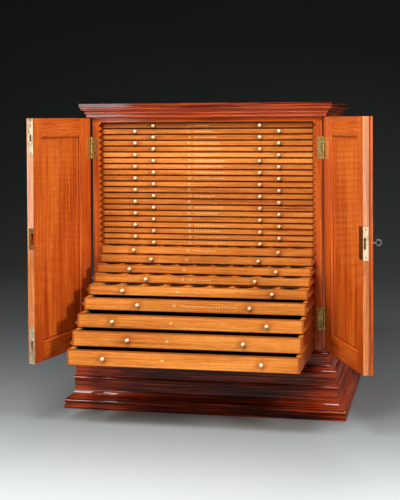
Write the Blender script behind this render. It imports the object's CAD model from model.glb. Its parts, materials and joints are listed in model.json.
import json
import math

import bmesh
import bpy
import numpy as np
from mathutils import Matrix, Vector


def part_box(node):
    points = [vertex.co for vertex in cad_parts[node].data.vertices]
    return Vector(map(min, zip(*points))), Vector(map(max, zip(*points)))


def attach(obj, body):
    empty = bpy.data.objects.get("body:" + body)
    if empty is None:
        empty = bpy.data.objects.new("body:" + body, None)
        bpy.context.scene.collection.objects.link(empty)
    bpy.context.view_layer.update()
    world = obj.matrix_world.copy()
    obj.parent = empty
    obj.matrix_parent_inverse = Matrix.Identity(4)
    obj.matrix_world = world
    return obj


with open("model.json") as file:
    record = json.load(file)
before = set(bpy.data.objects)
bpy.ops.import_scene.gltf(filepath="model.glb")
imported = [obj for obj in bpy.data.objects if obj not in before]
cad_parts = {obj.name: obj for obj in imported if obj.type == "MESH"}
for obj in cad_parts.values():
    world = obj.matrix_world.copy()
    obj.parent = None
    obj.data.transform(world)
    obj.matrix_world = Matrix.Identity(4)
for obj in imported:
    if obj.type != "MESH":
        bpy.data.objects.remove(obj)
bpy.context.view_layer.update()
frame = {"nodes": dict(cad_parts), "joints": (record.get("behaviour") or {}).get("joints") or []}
nodes = frame["nodes"]
jointOf = {joint["name"]: joint for joint in frame["joints"]}
mm = 0.001
print("coin cabinet: frame loaded with", len(nodes), "nodes")


# Shader sums

class Wire:
    # a node socket that takes part in Python expressions
    def __init__(self, tree, socket):
        self.tree = tree
        self.socket = socket

    def add(self, kind, settings, sockets, out=0):
        node = self.tree.nodes.new(kind)
        for key, value in settings.items():
            if key == "stops":
                while len(node.color_ramp.elements) < len(value):
                    node.color_ramp.elements.new(1.0)
                for stop, (place, colour) in zip(node.color_ramp.elements, value):
                    stop.position = place
                    stop.color = (*colour, 1.0)
            else:
                setattr(node, key, value)
        for key, value in sockets.items():
            if isinstance(value, Wire):
                self.tree.links.new(value.socket, node.inputs[key])
            else:
                node.inputs[key].default_value = value
        return Wire(self.tree, node.outputs[out])

    def sum(self, operation, *values):
        return self.add("ShaderNodeMath", {"operation": operation}, dict(enumerate(values)))

    def __add__(self, other):
        return self.sum("ADD", self, other)

    def __sub__(self, other):
        return self.sum("SUBTRACT", self, other)

    def __rsub__(self, other):
        return self.sum("SUBTRACT", other, self)

    def __mul__(self, other):
        return self.sum("MULTIPLY", self, other)

    def __truediv__(self, other):
        return self.sum("DIVIDE", self, other)

    def __rtruediv__(self, other):
        return self.sum("DIVIDE", other, self)

    def __pow__(self, other):
        return self.sum("POWER", self, other)

    def __gt__(self, other):
        return self.sum("GREATER_THAN", self, other)

    def __abs__(self):
        return self.sum("ABSOLUTE", self)

    __radd__ = __add__
    __rmul__ = __mul__

    def most(self, other):
        return self.sum("MAXIMUM", self, other)

    def least(self, other):
        return self.sum("MINIMUM", self, other)

    def rise(self, low, high):  # 0 below low, 1 above high, smooth between
        return self.add("ShaderNodeMapRange", {"interpolation_type": "SMOOTHSTEP"},
                        {"Value": self, "From Min": low, "From Max": high})

    def parts(self):
        first = self.add("ShaderNodeSeparateXYZ", {}, {0: self})
        return [Wire(self.tree, socket) for socket in first.socket.node.outputs]

    def join(self, x, y, z):
        return self.add("ShaderNodeCombineXYZ", {}, {0: x, 1: y, 2: z})

    def noise(self, size, detail=2.0, rough=0.5):  # size of one blotch in metres along each axis
        scaled = self.add("ShaderNodeVectorMath", {"operation": "DIVIDE"}, {0: self, 1: size})
        return self.add("ShaderNodeTexNoise", {},
                        {"Vector": scaled, "Scale": 1.0, "Detail": detail, "Roughness": rough})

    def moved(self, offset):
        return self.add("ShaderNodeVectorMath", {"operation": "ADD"}, {0: self, 1: offset})

    def ramp(self, stops):
        return self.add("ShaderNodeValToRGB", {"stops": stops}, {0: self})

    def blend(self, low, high):  # self is the share of high
        return self.add("ShaderNodeMix", {"data_type": "RGBA"}, {0: self, 6: low, 7: high}, out=2)


def newMaterial(name, constants):
    material = bpy.data.materials.new(name)
    material.use_nodes = True
    tree = material.node_tree
    shader = tree.nodes["Principled BSDF"]
    for key, value in constants.items():
        shader.inputs[key].default_value = value
    place = Wire(tree, tree.nodes.new("ShaderNodeTexCoord").outputs["Object"])
    return material, shader, place


def feed(shader, **wires):
    for key, wire in wires.items():
        wire.tree.links.new(wire.socket, shader.inputs[key.replace("_", " ")])


def opaque(colour):
    return (*colour, 1.0)


# Woods: rings are cones about a pith line, bent by slow noise; streaks, fibres and pores are noise drawn out
# along the grain. Lengths are in metres.

woods = {
    "tray": {"dark": (0.22, 0.040, 0.005), "mid": (0.55, 0.160, 0.020), "light": (0.79, 0.290, 0.052),
             "ring": 3.4 * mm, "pith": (41 * mm, 27 * mm), "lean": 0.035, "bend": 14 * mm, "figure": 0.5,
             "slow": 0.9, "streak": 1.1, "fibre": 1.0, "pores": 0.5, "rough": 0.44,
             "coat": 0.14, "coatRough": 0.3},
    "door": {"dark": (0.18, 0.013, 0.002), "mid": (0.53, 0.077, 0.007), "light": (0.80, 0.180, 0.022),
             "ring": 4.2 * mm, "pith": (70 * mm, 38 * mm), "lean": 0.03, "bend": 18 * mm, "figure": 0.6,
             "slow": 1.0, "streak": 1.4, "fibre": 1.0, "pores": 0.6, "rough": 0.4,
             "coat": 0.7, "coatRough": 0.09},
    "carcase": {"dark": (0.15, 0.015, 0.003), "mid": (0.45, 0.072, 0.008), "light": (0.66, 0.145, 0.020),
                "ring": 4.2 * mm, "pith": (60 * mm, 44 * mm), "lean": 0.03, "bend": 16 * mm, "figure": 0.6,
                "slow": 1.0, "streak": 1.4, "fibre": 1.0, "pores": 0.6, "rough": 0.4,
                "coat": 0.25, "coatRough": 0.12},
    "cornice": {"dark": (0.03, 0.005, 0.003), "mid": (0.27, 0.032, 0.006), "light": (0.48, 0.072, 0.014),
                "ring": 4.6 * mm, "pith": (50 * mm, 60 * mm), "lean": 0.02, "bend": 16 * mm, "figure": 0.6,
                "slow": 1.2, "streak": 2.2, "fibre": 0.8, "pores": 0.45, "rough": 0.36,
                "coat": 0.5, "coatRough": 0.07},
    "plinth": {"dark": (0.008, 0.002, 0.001), "mid": (0.10, 0.009, 0.002), "light": (0.40, 0.046, 0.008),
               "ring": 5.0 * mm, "pith": (60 * mm, 70 * mm), "lean": 0.02, "bend": 18 * mm, "figure": 0.6,
               "slow": 1.3, "streak": 2.4, "fibre": 0.8, "pores": 0.4, "rough": 0.42,
               "coat": 0.36, "coatRough": 0.05},
    "edge": {"dark": (0.24, 0.055, 0.012), "light": (0.71, 0.235, 0.050), "wave": 30 * mm, "curl": 2.4 * mm,
             "lean": 0.7, "wander": 0.03, "depth": 0.4},
}
# size of one blotch of each noise, two ways across the grain and along it
blotch = {"bend": (80 * mm, 80 * mm, 420 * mm), "wave": (60 * mm, 60 * mm, 42 * mm),
          "fine": (9 * mm, 9 * mm, 160 * mm), "slow": (45 * mm, 45 * mm, 260 * mm),
          "streak": (2.8 * mm, 2.8 * mm, 150 * mm), "fibre": (0.8 * mm, 0.8 * mm, 26 * mm),
          "pores": (0.55 * mm, 0.55 * mm, 9 * mm), "curl": (30 * mm, 30 * mm, 30 * mm)}
polish = {"specular": 0.08, "grime": 0.8, "fibreRough": 0.16, "poreRough": 0.12, "bump": 0.2,
          "bumpDepth": 0.15 * mm}
ringWood = {"fine": 0.5, "late": 2.2, "middle": 0.3, "pores": (0.6, 0.7), "curl": (0.1, 0.95)}


def woodFeeds(shader, p, look, tone, edge=None, marks=None):
    # p runs along the grain in its third part; edge masks the paler meeting edges, marks the grime
    x, y, z = p.parts()
    pale = woods["edge"]
    bend = (p.noise(blotch["bend"]) - 0.5) * (2 * look["bend"])
    if edge is not None:
        bend = bend + (p.noise(blotch["wave"]) - 0.5) * edge * pale["wave"]
    fine = (p.noise(blotch["fine"]) - 0.5) * (ringWood["fine"] * look["ring"])
    across = x - look["pith"][0] + z * look["lean"] + bend
    through = y - look["pith"][1]
    rings = (across * across + through * through) ** 0.5 + fine
    late = (rings / look["ring"]).sum("FRACT") ** ringWood["late"]
    slow = p.noise(blotch["slow"])
    streak = p.noise(blotch["streak"], 3.0, 0.6)
    fibre = p.noise(blotch["fibre"], 3.0, 0.6)
    pores = p.noise(blotch["pores"], 1.0).rise(*ringWood["pores"])
    shade = (0.5 + tone + (slow - 0.5) * look["slow"] + (streak - 0.5) * look["streak"]
             - (late - ringWood["middle"]) * look["figure"] + (fibre - 0.5) * look["fibre"])
    colour = shade.ramp([(0.08, look["dark"]), (0.5, look["mid"]), (0.92, look["light"])])
    if edge is not None:
        wander = (p.noise(blotch["curl"]) - 0.5) * pale["wander"]
        curl = ((z + x * pale["lean"] + wander) / pale["curl"]).sum("SINE")
        shadeOnEdge = shade - curl.rise(*ringWood["curl"]) * pale["depth"]
        colour = edge.blend(colour, shadeOnEdge.ramp([(0.1, pale["dark"]), (0.6, pale["light"])]))
    colour = (pores * look["pores"]).blend(colour, opaque(look["dark"]))
    rough = look["rough"] + (fibre - 0.5) * polish["fibreRough"] + pores * polish["poreRough"]
    if marks is not None:
        colour = (marks * polish["grime"]).blend(colour, opaque(look["dark"]))
    bump = p.add("ShaderNodeBump", {}, {"Strength": polish["bump"], "Distance": polish["bumpDepth"],
                                        "Height": fibre * 0.5 - pores * 0.6 - late * 0.2})
    feed(shader, Base_Color=colour, Roughness=rough, Normal=bump)


def woodMaterial(name, kind, grain, offset=(0, 0, 0), tone=0.0, marks=None, wear=None):
    look = woods[kind]
    material, shader, place = newMaterial(name, {
        "Coat Weight": look["coat"], "Coat Roughness": look["coatRough"],
        "Specular IOR Level": polish["specular"]})
    p, edge = grain(place)
    worn = wear(place) + tone if wear else tone
    woodFeeds(shader, p.moved(offset), look, worn, edge, marks and marks(place))
    return material


# Grain directions: each gives the place with the grain in its third part, and a mask of meeting edges or
# none. Wear: each gives what is added to the wood's tone at a place.

def grainX(place):
    x, y, z = place.parts()
    return place.join(y, z, x), None


def grainY(place):
    x, y, z = place.parts()
    return place.join(x, z, y), None


def grainZ(place):
    return place, None


carcase = {"halfW": 225 * mm, "frontY": -177.5 * mm}


def grainMitred(place):  # along the front, and along the returns beyond the mitres
    x, y, z = place.parts()
    turned = (abs(x) - carcase["halfW"]) - (carcase["frontY"] - y) > 0.0
    return place.join(y + (x - y) * turned, z, x + (y - x) * turned), None


def grainReturns(place):  # along the returns, and along the back board between them
    x, y, z = place.parts()
    behind = carcase["halfW"] - abs(x) > 0.0
    return place.join(x + (y - x) * behind, z, y + (x - y) * behind), None


rub = {"middle": 35 * mm, "reach": (100 * mm, 260 * mm), "gain": 0.42, "dull": 0.2}
fade = {"level": 340 * mm, "perMetre": 0.4, "dust": (580 * mm, 586 * mm), "dusty": -0.35}


def rubbedEnds(place):  # the plinth's dark polish is rubbed through towards its corners
    x = place.parts()[0]
    return abs(x - rub["middle"]).rise(*rub["reach"]) * rub["gain"] - rub["dull"]


def fadedUpwards(place):  # the doors are paler towards their tops
    z = place.parts()[2]
    return (z - fade["level"]) * fade["perMetre"]


def dustyTop(place):  # dust has darkened the cornice's top edge
    z = place.parts()[2]
    return z.rise(*fade["dust"]) * fade["dusty"]


door = {"w": 224.6 * mm, "hingeStile": 42.6 * mm, "meetingStile": 33.6 * mm, "rail": 35.6 * mm,
        "foot": 122.7 * mm, "head": 562.4 * mm, "grime": (0.8 * mm, 3.4 * mm), "pinOut": 3.2 * mm,
        "gap": 0.6 * mm, "openLeft": -99.5, "openRight": 112.5, "edgeSkin": 0.4 * mm, "plateSkin": 0.2 * mm,
        "edgeRings": 2.5}


def doorTurn(side):
    pivot = jointOf[side + "_door_hinge"]["pos_m"]
    return pivot, math.radians(door["openLeft" if side == "left" else "openRight"])


def doorPlace(side, place):  # u from the hinge edge, w from the inner face, z up
    pivot, turn = doorTurn(side)
    flat = place.add("ShaderNodeMapping", {"vector_type": "TEXTURE"},
                     {"Vector": place, "Location": (pivot[0], pivot[1], 0), "Rotation": (0, 0, turn)})
    u, w, z = flat.parts()
    return (u if side == "left" else 0.0 - u) - door["pinOut"], w + door["gap"] / 2, z


def grainFrame(side):  # stiles upright, rails across; the rings wind on the meeting edge
    def grain(place):
        u, w, z = doorPlace(side, place)
        rail = (u > door["hingeStile"]) * (door["w"] - door["meetingStile"] - u > 0.0)
        edge = u > door["w"] - door["edgeSkin"]
        first = u + (z - u) * rail
        first = first + (w * door["edgeRings"] - first) * edge
        return place.join(first, w + (u - w) * edge, z + (u - z) * rail), edge
    return grain


def grainPanel(side):
    def grain(place):
        u, w, z = doorPlace(side, place)
        return place.join(u, w, z), None
    return grain


def panelMarks(side):  # polish and dust gather along the mouldings round the panel
    def marks(place):
        u, _, z = doorPlace(side, place)
        across = (u - door["hingeStile"]).least(door["w"] - door["meetingStile"] - u)
        along = (z - door["foot"]).least(door["head"] - z) - door["rail"]
        return 1.0 - across.least(along).rise(*door["grime"])
    return marks


# Metals, bone, felt and gilding

metals = {
    "hingeBrass": {"bright": (0.74, 0.52, 0.17), "dull": (0.17, 0.11, 0.03), "rough": 0.34, "patch": 5 * mm},
    "boltBrass": {"bright": (0.50, 0.40, 0.27), "dull": (0.26, 0.19, 0.11), "rough": 0.34, "patch": 12 * mm},
    "pinBrass": {"bright": (0.86, 0.68, 0.34), "dull": (0.40, 0.28, 0.12), "rough": 0.26, "patch": 3 * mm},
    "lockBrass": {"bright": (0.80, 0.62, 0.38), "dull": (0.64, 0.47, 0.27), "rough": 0.36, "patch": 9 * mm},
    "darkBronze": {"bright": (0.22, 0.105, 0.030), "dull": (0.07, 0.036, 0.014), "rough": 0.42,
                   "patch": 6 * mm},
    "keySteel": {"bright": (0.20, 0.195, 0.19), "dull": (0.07, 0.066, 0.062), "rough": 0.42, "patch": 3 * mm},
    "screwBrass": {"bright": (0.30, 0.22, 0.09), "dull": (0.07, 0.045, 0.02), "rough": 0.3, "patch": 2 * mm},
}
gilt = {"bright": (0.98, 0.78, 0.42), "rubbed": (0.80, 0.50, 0.19), "patch": (0.9 * mm, 0.9 * mm, 0.9 * mm)}
bone = {"pale": (0.84, 0.70, 0.42), "mid": (0.78, 0.57, 0.28), "stained": (0.52, 0.29, 0.10),
        "lines": (0.5 * mm, 6 * mm, 0.5 * mm), "stain": (2.2 * mm, 2.2 * mm, 2.2 * mm)}
cloth = {"nap": (0.35 * mm, 0.35 * mm, 0.35 * mm), "worn": (16 * mm, 16 * mm, 16 * mm), "bump": 0.5,
         "bumpDepth": 0.2 * mm}
tarnish = {"scratch": (0.4 * mm, 0.4 * mm, 8 * mm), "range": (0.42, 0.68), "rough": 0.2, "scratchRough": 0.15,
           "bump": 0.12, "bumpDepth": 0.05 * mm}


def patinaFeeds(shader, place, look, colourOf):
    size = look["patch"]
    patina = place.noise((size, size, size), 4.0, 0.65).rise(*tarnish["range"])
    scratch = place.noise(tarnish["scratch"], 2.0)
    rough = look["rough"] + patina * tarnish["rough"] + (scratch - 0.5) * tarnish["scratchRough"]
    bump = place.add("ShaderNodeBump", {}, {"Strength": tarnish["bump"], "Distance": tarnish["bumpDepth"],
                                            "Height": scratch + patina * 0.5})
    feed(shader, Base_Color=colourOf(patina), Roughness=rough, Normal=bump)


def metalMaterial(name):
    look = metals[name]
    material, shader, place = newMaterial(name, {"Metallic": 1.0})
    patinaFeeds(shader, place, look,
                lambda patina: patina.blend(opaque(look["bright"]), opaque(look["dull"])))
    return material


def lockMaterial():  # bright brass on the door's edge, dark bronze on the inner face
    edge, back = metals["lockBrass"], metals["darkBronze"]
    material, shader, place = newMaterial("lockMetal", {"Metallic": 1.0})
    u = doorPlace("right", place)[0]
    onEdge = u > door["w"] - door["plateSkin"]

    def colourOf(patina):
        bright = onEdge.blend(opaque(back["bright"]), opaque(edge["bright"]))
        return patina.blend(bright, onEdge.blend(opaque(back["dull"]), opaque(edge["dull"])))
    patinaFeeds(shader, place, edge, colourOf)
    return material


def giltMaterial():
    material, shader, place = newMaterial("goldLeaf", {"Metallic": 0.35})
    rubbed = place.noise(gilt["patch"], 3.0).rise(0.45, 0.7)
    feed(shader, Base_Color=rubbed.blend(opaque(gilt["bright"]), opaque(gilt["rubbed"])),
         Roughness=0.4 + rubbed * 0.2)
    return material


def boneMaterial():
    material, shader, place = newMaterial("turnedBone", {"Coat Weight": 0.3, "Coat Roughness": 0.2})
    lines = place.noise(bone["lines"], 2.0)
    stain = place.noise(bone["stain"], 3.0).rise(0.5, 0.75)
    stops = [(0.15, bone["pale"]), (0.55, bone["mid"]), (0.9, bone["stained"])]
    colour = (lines * 0.5 + stain * 0.5).ramp(stops)
    feed(shader, Base_Color=colour, Roughness=0.3 + lines * 0.2)
    return material


def clothMaterial(name, deep, lit):
    material, shader, place = newMaterial(name, {"Specular IOR Level": 0.1})
    nap = place.noise(cloth["nap"], 4.0, 0.7)
    worn = place.noise(cloth["worn"], 2.0)
    colour = (nap * 0.6 + worn * 0.5 - 0.05).ramp([(0.2, deep), (0.8, lit)])
    bump = place.add("ShaderNodeBump", {},
                     {"Strength": cloth["bump"], "Distance": cloth["bumpDepth"], "Height": nap})
    feed(shader, Base_Color=colour, Roughness=0.85 + nap * 0.12, Normal=bump)
    return material


hingeBrass = metalMaterial("hingeBrass")
boltBrass = metalMaterial("boltBrass")
pinBrass = metalMaterial("pinBrass")
darkBronze = metalMaterial("darkBronze")
keySteel = metalMaterial("keySteel")
screwBrass = metalMaterial("screwBrass")
lockMetal = lockMaterial()
goldLeaf = giltMaterial()
turnedBone = boneMaterial()
recessFelt = clothMaterial("recessFelt", (0.0015, 0.004, 0.003), (0.006, 0.017, 0.011))
drawerBaize = clothMaterial("drawerBaize", (0.002, 0.040, 0.014), (0.008, 0.13, 0.045))


def finishNode(name, material):
    slots = nodes[name].data.materials
    slots.clear()
    slots.append(material)


finishes = {
    "base_board": woodMaterial("baseBoardWood", "plinth", grainMitred, wear=rubbedEnds),
    "plinth_front": woodMaterial("plinthFrontWood", "plinth", grainX, (0.3, 0.1, 0.2), wear=rubbedEnds),
    "plinth_returns": woodMaterial("plinthReturnWood", "plinth", grainReturns, (0.1, 0.4, 0.0),
                                   wear=rubbedEnds),
    "plinth_top": woodMaterial("plinthTopWood", "plinth", grainX, (0.5, 0.2, 0.1)),
    "cap_front": woodMaterial("capFrontWood", "plinth", grainX, (0.7, 0.0, 0.3), wear=rubbedEnds),
    "cap_returns": woodMaterial("capReturnWood", "plinth", grainY, (0.2, 0.2, 0.5), wear=rubbedEnds),
    "carcase_left_side": woodMaterial("leftSideWood", "carcase", grainZ),
    "carcase_right_side": woodMaterial("rightSideWood", "carcase", grainZ, (0.3, 0.2, 0.6)),
    "carcase_bottom": woodMaterial("carcaseBottomWood", "carcase", grainX, (0.1, 0.0, 0.4)),
    "carcase_top": woodMaterial("carcaseTopWood", "carcase", grainX, (0.2, 0.1, 0.2)),
    "carcase_back": woodMaterial("carcaseBackWood", "carcase", grainZ, (0.4, 0.4, 0.1)),
    "top_board": woodMaterial("topBoardWood", "cornice", grainX, (0.6, 0.3, 0.0)),
    "cornice_front": woodMaterial("corniceFrontWood", "cornice", grainX, (0.3, 0.2, 0.4), wear=dustyTop),
    "cornice_returns": woodMaterial("corniceReturnWood", "cornice", grainY, (0.5, 0.1, 0.2), wear=dustyTop),
    "left_door_frame": woodMaterial("leftFrameWood", "door", grainFrame("left"), wear=fadedUpwards),
    "right_door_frame": woodMaterial("rightFrameWood", "door", grainFrame("right"), wear=fadedUpwards),
    "left_door_panel": woodMaterial("leftPanelWood", "door", grainPanel("left"), tone=0.08,
                                    marks=panelMarks("left"), wear=fadedUpwards),
    "right_door_panel": woodMaterial("rightPanelWood", "door", grainPanel("right"), tone=0.08,
                                     marks=panelMarks("right"), wear=fadedUpwards),
    "meeting_bead": woodMaterial("meetingBeadWood", "carcase", grainZ, tone=-0.1),
    "carcase_hinge_leaves": hingeBrass,
    "left_door_hinge_leaves": hingeBrass,
    "right_door_hinge_leaves": hingeBrass,
    "flush_bolt_plates": boltBrass,
    "upper_flush_bolt": pinBrass,
    "lower_flush_bolt": pinBrass,
    "lock_keep": darkBronze,
    "lock_case": lockMetal,
    "lock_bolt": darkBronze,
    "escutcheon": hingeBrass,
    "key": keySteel,
}
for name, material in finishes.items():
    finishNode(name, material)
print("coin cabinet: carcase, doors and metalwork finished")


# Surfaces worked out on grids

def gridFaces(rows, columns, closed):
    # quads between neighbouring rows of points; closed joins the last column to the first
    r, c = np.meshgrid(np.arange(rows - 1), np.arange(columns if closed else columns - 1), indexing="ij")
    nextC = (c + 1) % columns
    quads = np.stack([r * columns + c, r * columns + nextC,
                      (r + 1) * columns + nextC, (r + 1) * columns + c], -1)
    return quads.reshape(-1, 4)


def repeatFaces(faces, times, step):
    # the same faces again for each run of so many points
    return (faces[None] + (np.arange(times) * step)[:, None, None]).reshape(-1, faces.shape[1])


def copies(points, faces, places):
    # the same points shifted to every place, with their faces
    moved = (places[:, None, :] + points[None]).reshape(-1, 3)
    return moved, repeatFaces(faces, len(places), len(points))


def revolve(profile, sides, axis):
    # radius and height pairs carried round an axis: u = r cos a, v = r sin a across it, the height along it
    radius, height = np.asarray(profile, float).T
    angle = np.linspace(0, 2 * np.pi, sides, endpoint=False)
    u = radius[:, None] * np.cos(angle)
    v = radius[:, None] * np.sin(angle)
    h = np.broadcast_to(height[:, None], u.shape)
    order = {"z": (u, v, h), "-y": (u, -h, v)}[axis]
    return np.stack(order, -1).reshape(-1, 3), gridFaces(len(radius), sides, True)


def addObject(name, data):
    thing = bpy.data.objects.new(name, data)
    bpy.context.scene.collection.objects.link(thing)
    return thing


weld = {"seam": 1e-6, "sliver": 1e-7}


def makePiece(name, points, faces, material, body, slot, smooth=True):
    mesh = bpy.data.meshes.new(name)
    mesh.from_pydata(points.tolist(), [], faces.tolist())
    shape = bmesh.new()
    shape.from_mesh(mesh)
    bmesh.ops.remove_doubles(shape, verts=shape.verts, dist=weld["seam"])  # closes seams and poles
    bmesh.ops.dissolve_degenerate(shape, edges=shape.edges, dist=weld["sliver"])
    bmesh.ops.recalc_face_normals(shape, faces=shape.faces)
    shape.to_mesh(mesh)
    shape.free()
    mesh.polygons.foreach_set("use_smooth", np.full(len(mesh.polygons), smooth))
    mesh.materials.append(material)
    piece = addObject(name, mesh)
    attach(piece, body)
    return piece


# Trays: wood, bone knobs, felt, numerals

tray = {"count": 30, "half": 208.4 * mm, "depth": 328 * mm, "knobStand": 7.2 * mm, "lastPierced": 26,
        "toneSpread": 0.09, "grime": (4 * mm, 17 * mm), "knobGrime": 0.5, "flankGrime": 0.8, "skin": 1.5 * mm,
        "arris": (0.45 * mm, 1.25 * mm), "tongue": (203.5 * mm, 206.5 * mm),
        "behind": (1.2 * mm, 3 * mm), "flank": (207.4 * mm, 208.2 * mm), "lip": (10.6 * mm, 0.3 * mm),
        "tones": {25: 0.08, 26: 0.14, 27: 0.08, 28: 0.06, 29: 0.02, 30: -0.04}}
knob = {"odd": 105 * mm, "even": 142 * mm, "sides": 20,
        # radius and height in millimetres, from the pip at the end to the collar against the tray
        "profile": [(0.0, 7.5), (0.7, 7.45), (1.1, 7.2), (1.9, 6.85), (2.75, 6.1), (3.25, 5.2), (3.42, 4.2),
                    (3.25, 3.1), (2.7, 2.2), (2.05, 1.65), (2.0, 1.25), (2.5, 0.95), (2.95, 0.7), (3.0, 0.35),
                    (2.9, 0.02), (0.0, 0.02)]}
felt = {"smallLast": 10, "middleLast": 24, "small": 30 * mm, "middle": 36 * mm, "large": 43 * mm,
        "web": 3.5 * mm, "rowMargin": 5 * mm, "endMargin": 8 * mm, "depth": 4 * mm, "thick": 0.7 * mm,
        "dish": 0.85, "flat": 0.8, "lift": 0.02 * mm, "play": 0.15 * mm, "sides": 18}
lining = {"front": 10.05 * mm, "wall": 8 * mm, "floor": 5 * mm, "lip": 1.2 * mm, "thick": 0.5 * mm,
          "corner": 2 * mm, "cornerPoints": 5, "cloth": 0.9,
          # shares of the way from the middle to the wall, from the rim in, and the rises above the floor
          "shares": [1, 1, 0.996, 0.98, 0.5, 0.0], "rises": [2 * mm, 0.6 * mm, 0.0, 0.0, 0.0]}
numeral = {"size": 6.0 * mm, "fromMiddle": -34 * mm, "leaf": 0.06 * mm, "shift": 1.6 * mm,
           "curvePoints": 4}
# plain gilt lozenges in a row after the numeral, so many on each tray
lozenge = {"r": 1.25 * mm, "leaf": 0.1 * mm, "rim": 0.3, "lift": 0.005 * mm, "from": -22 * mm,
           "step": 5.1 * mm,
           "count": {1: 6, 2: 7, 3: 9, 4: 10, 5: 11, 6: 10, 7: 12, 8: 11, 9: 12, 10: 12, 13: 8, 15: 11, 16: 9,
                     18: 12, 19: 10, 20: 13, 21: 12, 22: 9, 25: 9, 27: 21}}

rng = np.random.default_rng(17)


def trayFace(name):
    low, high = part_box(name)
    return low.y + tray["knobStand"], low.z, high.z


def trayMarks(i, front, low, high):
    # grime spreads round the knobs, and darkens the front's arrises, the ends of the tongues, the flanks and
    # the top of a drawer's front
    def marks(place):
        x, y, z = place.parts()
        aside = abs(x) - (knob["odd"] if i % 2 else knob["even"])
        aloft = z - (low + high) / 2
        onFront = front + tray["skin"] - y > 0.0
        near = (1.0 - ((aside * aside + aloft * aloft) ** 0.5).rise(*tray["grime"])) * tray["knobGrime"]
        tongue = abs(x).rise(*tray["tongue"])
        fromArris = (high - low) / 2 - abs(aloft)
        border = 1.0 - fromArris.rise(*tray["arris"])
        grime = near.most(tongue).most(border) * onFront
        behind = (y - front).rise(*tray["behind"])
        flank = abs(x).rise(*tray["flank"]) * behind * tray["flankGrime"]
        if i > tray["lastPierced"]:
            reach, deep = tray["lip"]
            flank = flank + (front + reach - y > 0.0) * (z - high + deep > 0.0) * behind
        return grime.most(flank)
    return marks


def makeKnobs(i, name, front, low, high):
    spread = knob["odd"] if i % 2 else knob["even"]
    points, faces = revolve(np.array(knob["profile"]) * mm, knob["sides"], "-y")
    places = np.array([[-spread, front, (low + high) / 2], [spread, front, (low + high) / 2]])
    makePiece(name + "_knobs", *copies(points, faces, places), turnedBone, name, "bone")


def makeFelts(i, name, front, high):
    # slightly dished discs, one in each recess
    pitch = felt["large"]
    if i <= felt["middleLast"]:
        pitch = felt["small"] if i <= felt["smallLast"] else felt["middle"]
    d = pitch - felt["web"]
    columns = int((2 * (tray["half"] - felt["endMargin"]) + felt["web"]) / pitch)
    rows = int((tray["depth"] - 2 * felt["rowMargin"] + felt["web"]) / pitch)
    across, back = np.meshgrid((np.arange(columns) - (columns - 1) / 2) * pitch,
                               front + felt["rowMargin"] + d / 2 + np.arange(rows) * pitch)
    r, t, dish, lift = d / 2 - felt["play"], felt["thick"], felt["thick"] * felt["dish"], felt["lift"]
    profile = [(0, dish), (r * felt["flat"], dish), (r, t), (r, lift), (0, lift)]
    points, faces = revolve(profile, felt["sides"], "z")
    places = np.stack([across.ravel(), back.ravel(), np.full(across.size, high - felt["depth"])], -1)
    piece = makePiece(name + "_felts", *copies(points, faces, places), recessFelt, name, "baize")


def makeLining(name, front, low, high):
    # a rounded rectangle carried down the walls, round the corner and in over the floor
    inside = tray["half"] - lining["wall"] - lining["thick"]
    y0 = front + lining["front"] + lining["thick"]
    y1 = front + tray["depth"] - lining["wall"] - lining["thick"]
    turn = np.linspace(0, np.pi / 2, lining["cornerPoints"])
    corner = lining["corner"]
    quarters = [(0, 1, 1), (np.pi / 2, -1, 1), (np.pi, -1, -1), (1.5 * np.pi, 1, -1)]
    ring = np.concatenate([np.stack([sx * (inside - corner) + corner * np.cos(turn + q),
                                     (y1 if sy > 0 else y0) - sy * corner + corner * np.sin(turn + q)], -1)
                           for q, sx, sy in quarters])
    top = high - lining["lip"]
    bed = low + lining["floor"] + lining["thick"]
    share = np.array(lining["shares"])
    heights = np.array([top, *(bed + rise for rise in lining["rises"])])
    middle = np.array([0, (y0 + y1) / 2])
    flat = middle + (ring - middle)[None] * share[:, None, None]
    points = np.concatenate([flat, np.broadcast_to(heights[:, None, None], (*flat.shape[:2], 1))], -1)
    piece = makePiece(name + "_lining", points.reshape(-1, 3), gridFaces(len(share), len(ring), True),
                      drawerBaize, name, "baize")
    thick = piece.modifiers.new("cloth", "SOLIDIFY")
    thick.thickness = lining["thick"] * lining["cloth"]
    thick.offset = 0
    width, depth, rise = 2 * inside, y1 - y0, top - bed
    width + 2 * rise
    depth + 2 * rise
    width * depth + 2 * (width + depth) * rise


def makeNumeral(i, name, front, low, high):
    text = bpy.data.curves.new(name + "_text", "FONT")
    text.body = str(i)
    text.size = numeral["size"]
    text.align_x = "CENTER"
    text.align_y = "CENTER"
    text.extrude = numeral["leaf"]
    text.resolution_u = numeral["curvePoints"]
    holder = addObject(name + "_text", text)
    bpy.context.view_layer.update()
    mesh = bpy.data.meshes.new_from_object(holder.evaluated_get(bpy.context.evaluated_depsgraph_get()))
    bpy.data.objects.remove(holder)
    where = (numeral["fromMiddle"] + rng.uniform(-1, 1) * numeral["shift"], front, (low + high) / 2)
    mesh.transform(Matrix.Translation(where) @ Matrix.Rotation(math.radians(90), 4, "X"))
    mesh.materials.clear()
    mesh.materials.append(goldLeaf)
    piece = addObject(name + "_numeral", mesh)
    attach(piece, name)


def makeLozenges(i, name, front, low, high):
    # four-sided discs, thickest in the middle
    r, leaf, lift = lozenge["r"], lozenge["leaf"], lozenge["lift"]
    points, faces = revolve([(0, leaf), (r, leaf * lozenge["rim"]), (r, lift), (0, lift)], 4, "-y")
    along = lozenge["from"] + np.arange(lozenge["count"][i]) * lozenge["step"]
    places = np.stack([along, np.full(len(along), front), np.full(len(along), (low + high) / 2)], -1)
    makePiece(name + "_lozenges", *copies(points, faces, places), goldLeaf, name, "gilt", smooth=False)


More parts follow.
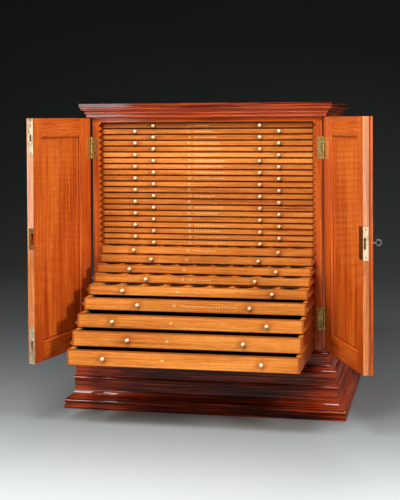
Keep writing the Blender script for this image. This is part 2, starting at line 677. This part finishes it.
for i in range(1, tray["count"] + 1):
    name = f"tray_{i:02d}"
    front, low, high = trayFace(name)
    offset = tuple(rng.uniform(-2, 2, 3))
    tone = rng.normal(0, tray["toneSpread"]) if i <= felt["middleLast"] else tray["tones"][i]
    marks = trayMarks(i, front, low, high)
    finishNode(name, woodMaterial(name + "Wood", "tray", grainX, offset, tone, marks))
    makeKnobs(i, name, front, low, high)
    makeNumeral(i, name, front, low, high)
    if i in lozenge["count"]:
        makeLozenges(i, name, front, low, high)
    if i <= tray["lastPierced"]:
        makeFelts(i, name, front, high)
    else:
        makeLining(name, front, low, high)
print("coin cabinet: trays finished")


# Screws in the hinges, bolts and lock

screw = {"r": 1.6 * mm, "slot": 0.3 * mm, "deep": 0.3 * mm, "dome": 0.3 * mm, "sink": 0.3 * mm,
         "turn": (0.2, 1.2), "across": 9}
hinge = {"leafW": 9 * mm, "rowIn": 0.55, "zs": (180.7 * mm, 504.4 * mm), "rows": (-14 * mm, 0.0, 14 * mm),
         "stagger": 1.1 * mm}
plate = {"middle": -5.2 * mm, "boltZs": (127.5 * mm, 184 * mm, 501 * mm, 557.6 * mm), "lockZ": 346.55 * mm,
         "lockRise": 24 * mm, "keepRise": 15.5 * mm, "backIn": (17.5 * mm, 6 * mm)}


def closedSlab(top, bottom):
    # two grids of points of the same shape, one over the other, and the walls between their borders
    rows, columns = top.shape[:2]
    index = np.arange(rows * columns).reshape(rows, columns)
    border = np.concatenate([index[0], index[1:, -1], index[-1, -2::-1], index[-2:0:-1, 0]])
    after = np.roll(border, -1)
    lower = rows * columns
    walls = np.stack([border, after, after + lower, border + lower], -1)
    flat = gridFaces(rows, columns, False)
    points = np.concatenate([top.reshape(-1, 3), bottom.reshape(-1, 3)])
    return points, np.concatenate([flat, flat[:, ::-1] + lower, walls])


def slottedHead():
    # chords across a disc, each from rim to rim; heights follow a low dome and drop between the slot's chords
    s = screw["slot"] / screw["r"]
    chord = np.array([-1, -0.8, -0.5, -s, -s, s, s, 0.5, 0.8, 1.0])
    low = np.array([0, 0, 0, 0, 1, 1, 0, 0, 0, 0]) * screw["deep"]
    v = np.repeat(chord[:, None], screw["across"], 1)
    u = np.sqrt(np.maximum(1 - v * v, 0)) * np.linspace(-1, 1, screw["across"])
    h = screw["dome"] * (1 - u * u - v * v) - low[:, None]
    top = np.stack([u * screw["r"], v * screw["r"], h], -1)
    bottom = top * np.array([1, 1, 0]) - np.array([0, 0, screw["sink"]])
    return closedSlab(top, bottom)


def makeScrews(name, body, places, out):
    # heads turned at random about the outward direction, one at each place
    out = np.asarray(out, float)
    up = np.array([0.0, 0.0, 1.0])
    side = np.cross(up, out)
    points, faces = slottedHead()
    turns = rng.uniform(*screw["turn"], len(places))
    c, s = np.cos(turns)[:, None], np.sin(turns)[:, None]
    u = points[None, :, 0] * c - points[None, :, 1] * s
    v = points[None, :, 0] * s + points[None, :, 1] * c
    spread = (u[..., None] * side + v[..., None] * up + points[None, :, 2:] * out
              + np.asarray(places)[:, None, :])
    makePiece(name, spread.reshape(-1, 3), repeatFaces(faces, len(places), len(points)), screwBrass, body,
              "brass", smooth=False)


def onDoor(side, u, w, z):  # from the shut door's own measures to the place where it stands open
    pivot, turn = doorTurn(side)
    x = (door["pinOut"] + u) * (1 if side == "left" else -1)
    y = w - door["gap"] / 2
    return (pivot[0] + x * math.cos(turn) - y * math.sin(turn),
            pivot[1] + x * math.sin(turn) + y * math.cos(turn), z)


def doorWay(side, x, y):  # a direction on the shut door, turned with it
    turn = doorTurn(side)[1]
    x *= 1 if side == "left" else -1
    return (x * math.cos(turn) - y * math.sin(turn), x * math.sin(turn) + y * math.cos(turn), 0.0)


hingeRows = [(zs + row, hinge["leafW"] * hinge["rowIn"] + hinge["stagger"] * (-1) ** k)
             for zs in hinge["zs"] for k, row in enumerate(hinge["rows"])]
makeScrews("carcase_hinge_screws", "cabinet",
           [(side * (carcase["halfW"] - inward), carcase["frontY"], z)
            for side in (-1, 1) for z, inward in hingeRows], (0, -1, 0))
for side in ("left", "right"):
    makeScrews(side + "_hinge_screws", side + "_door",
               [onDoor(side, inward, 0.0, z) for z, inward in hingeRows], doorWay(side, 0, 1))
keepZs = [plate["lockZ"] - plate["keepRise"], plate["lockZ"] + plate["keepRise"]]
lockZs = [plate["lockZ"] - plate["lockRise"], plate["lockZ"] + plate["lockRise"]]
makeScrews("bolt_plate_screws", "left_door",
           [onDoor("left", door["w"], plate["middle"], z) for z in (*plate["boltZs"], *keepZs)],
           doorWay("left", 1, 0))
makeScrews("lock_edge_screws", "right_door",
           [onDoor("right", door["w"], plate["middle"], z) for z in lockZs], doorWay("right", 1, 0))
makeScrews("lock_back_screws", "right_door",
           [onDoor("right", door["w"] - inward, 0.0, z) for inward in plate["backIn"] for z in lockZs],
           doorWay("right", 0, 1))
print("coin cabinet: screws set")


# Camera, floor and light

view = {"place": (0.45037, -2.34773, 0.55749), "yaw": 11.97, "pitch": 1.09, "roll": -0.33, "lens": 82.97,
        "sensor": 36, "shiftY": -0.216, "sees": 50}


def makeCamera():
    yaw, pitch, roll = (math.radians(view[key]) for key in ("yaw", "pitch", "roll"))
    ahead = np.array([-math.sin(yaw) * math.cos(pitch), math.cos(yaw) * math.cos(pitch), -math.sin(pitch)])
    right = np.array([math.cos(yaw), math.sin(yaw), 0.0])
    up = np.cross(right, ahead)
    rolledRight = right * math.cos(roll) + up * math.sin(roll)
    rolledUp = up * math.cos(roll) - right * math.sin(roll)
    lens = bpy.data.cameras.new("camera")
    lens.sensor_width = view["sensor"]
    lens.lens = view["lens"]
    lens.shift_y = view["shiftY"]
    lens.clip_end = view["sees"]
    camera = addObject("camera", lens)
    turn = np.eye(4)
    turn[:3, :3] = np.stack([rolledRight, rolledUp, -ahead], -1)
    turn[:3, 3] = view["place"]
    camera.matrix_world = Matrix(turn.tolist())
    bpy.context.scene.camera = camera


# one pale paper, which darkens behind the cabinet and up the wall, and under the lamps in front
floor = {"halfW": 6.0, "near": -6.0, "far": 1.6, "bend": 1.4, "top": 4.0, "pale": (0.595, 0.645, 0.645),
         "from": -0.75, "half": 0.42, "power": 1.65, "before": -1.2, "reach": 0.7, "steps": 13}


def makeFloor():
    # a flat floor carried up in a quarter round to a wall
    turn = np.linspace(0, np.pi / 2, floor["steps"])
    far, bend = floor["far"], floor["bend"]
    y = np.concatenate([[floor["near"]], far + bend * np.sin(turn), [far + bend]])
    z = np.concatenate([[0.0], bend * (1 - np.cos(turn)), [floor["top"]]])
    x = np.broadcast_to(np.array([-floor["halfW"], floor["halfW"]]), (len(y), 2))
    points = np.stack([x, np.repeat(y[:, None], 2, 1), np.repeat(z[:, None], 2, 1)], -1)
    material, shader, place = newMaterial("studioFloor", {"Roughness": 0.9, "Specular IOR Level": 0.1})
    back, up = place.parts()[1:]
    depth = (back + up - floor["from"]).most(0.0)
    ahead = (floor["before"] - back).most(0.0)
    lit = 1.0 / (1.0 + (depth / floor["half"]) ** floor["power"] + (ahead / floor["reach"]) ** 2.0)
    feed(shader, Base_Color=lit.blend((0.0, 0.0, 0.0, 1.0), opaque(floor["pale"])))
    mesh = bpy.data.meshes.new("studioFloor")
    mesh.from_pydata(points.reshape(-1, 3).tolist(), [], gridFaces(len(y), 2, False)[:, ::-1].tolist())
    mesh.polygons.foreach_set("use_smooth", np.full(len(mesh.polygons), True))
    mesh.materials.append(material)
    stage = addObject("studioFloor", mesh)


# bearing is to the right of straight ahead, rise above level, both in degrees from the middle of the front
lamps = {
    "overhead": {"bearing": -2, "rise": 50, "away": 2.6, "size": (0.8, 0.5), "power": 42},
    "softboxLeft": {"bearing": -27, "rise": 35, "away": 2.8, "size": (0.35, 1.6), "power": 52},
    "softboxRight": {"bearing": 63, "rise": 22, "away": 2.9, "size": (0.5, 0.4), "power": 49},
    "stripLeft": {"bearing": -39, "rise": 3, "away": 2.8, "size": (0.4, 0.8), "power": 7.2},
    "stripRight": {"bearing": 43, "rise": 3, "away": 2.7, "size": (0.35, 0.8), "power": 4.4},
    "stripCornice": {"bearing": -21, "rise": 6, "away": 2.8, "size": (0.25, 0.3), "power": 2.5},
    "backFill": {"bearing": 170, "rise": 36, "away": 2.8, "size": (1.4, 1.0), "power": 34},
}
aim = {"middle": (0.0, -0.2, 0.32)}
skyLight = {"colour": (0.95, 0.97, 1.0), "strength": 0.03}


def makeLights():
    for name, look in lamps.items():
        light = bpy.data.lights.new(name, "AREA")
        light.shape = "RECTANGLE"
        light.size, light.size_y = look["size"]
        light.energy = look["power"]
        lamp = addObject(name, light)
        bearing, rise = math.radians(look["bearing"]), math.radians(look["rise"])
        level = math.cos(rise)
        away = Vector((math.sin(bearing) * level, -math.cos(bearing) * level, math.sin(rise)))
        lamp.location = Vector(aim["middle"]) + away * look["away"]
        lamp.rotation_mode = "QUATERNION"
        lamp.rotation_quaternion = away.to_track_quat("Z", "Y")
    world = bpy.data.worlds.new("studio")
    world.use_nodes = True
    sky = world.node_tree.nodes["Background"]
    sky.inputs["Color"].default_value = opaque(skyLight["colour"])
    sky.inputs["Strength"].default_value = skyLight["strength"]
    bpy.context.scene.world = world


makeCamera()
makeFloor()
makeLights()
bpy.context.scene.view_settings.view_transform = "Standard"
print("coin cabinet: camera, floor and lights set")
